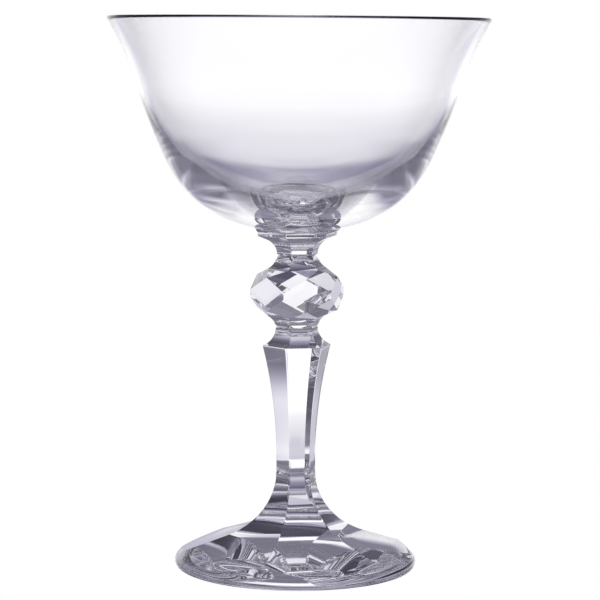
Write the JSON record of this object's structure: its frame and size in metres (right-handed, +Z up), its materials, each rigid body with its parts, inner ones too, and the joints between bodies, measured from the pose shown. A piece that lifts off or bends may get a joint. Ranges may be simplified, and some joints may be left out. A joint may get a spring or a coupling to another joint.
{
  "type": "stemmed coupe glass",
  "caption": "Cut-crystal coupe for cocktails or sparkling wine, with a flared bowl, a faceted knopped stem and a petal-cut round foot.",
  "frame": {"origin": "centre of the resting plane, on the glass's axis", "axes": "+Z up along the axis of the glass; the cut edges of the six-sided stem lie on +X and every 60 degrees from it"},
  "size_m": [0.1, 0.1, 0.145],
  "materials": {
    "crystal": "polished clear cut crystal"
  },
  "bodies": {
    "root": {"bowl": "crystal", "merese": "crystal", "knop": "crystal", "stem": "crystal", "foot": "crystal"}
  },
  "joints": []
}
